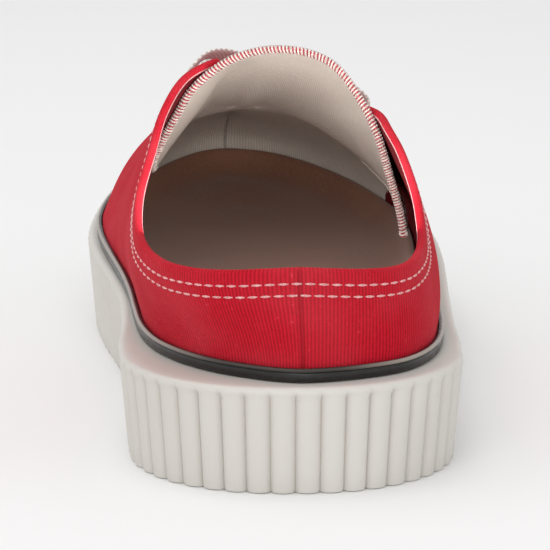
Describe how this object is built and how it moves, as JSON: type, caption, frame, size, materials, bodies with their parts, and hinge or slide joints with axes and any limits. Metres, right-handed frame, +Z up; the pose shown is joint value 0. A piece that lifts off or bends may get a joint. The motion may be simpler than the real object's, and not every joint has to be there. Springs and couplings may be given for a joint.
{
  "type": "sneaker mule",
  "caption": "Backless-style slip-on canvas shoe with a low heel rim, laced throat, wide tongue and a thick ribbed rubber sole; right foot.",
  "frame": {"origin": "middle of the sole's length and width, on the floor that the shoe stands on", "axes": "+Y from heel to toe, +X to the wearer's right, which is the outer side of this right shoe, +Z up"},
  "size_m": [0.0972, 0.2699, 0.0875],
  "materials": {
    "white_rubber": "matt",
    "black_rubber": "satin",
    "red_canvas": "corded canvas",
    "tongue_canvas": "plain cotton",
    "brown_footbed": "brushed lining on a moulded footbed",
    "eyelet_metal": "satin",
    "white_cotton": "flat woven lace"
  },
  "bodies": {
    "root": {"outsole": "white_rubber", "sidewall": "white_rubber", "foxing_band": "black_rubber", "insole": "brown_footbed", "upper": "red_canvas", "tongue": "tongue_canvas", "eyestay_medial": "red_canvas", "eyestay_lateral": "red_canvas", "lace": "white_cotton", "eyelet_medial_1": "eyelet_metal", "eyelet_lateral_1": "eyelet_metal", "eyelet_medial_2": "eyelet_metal", "eyelet_lateral_2": "eyelet_metal", "eyelet_medial_3": "eyelet_metal", "eyelet_lateral_3": "eyelet_metal", "eyelet_medial_4": "eyelet_metal", "eyelet_lateral_4": "eyelet_metal"}
  },
  "joints": []
}
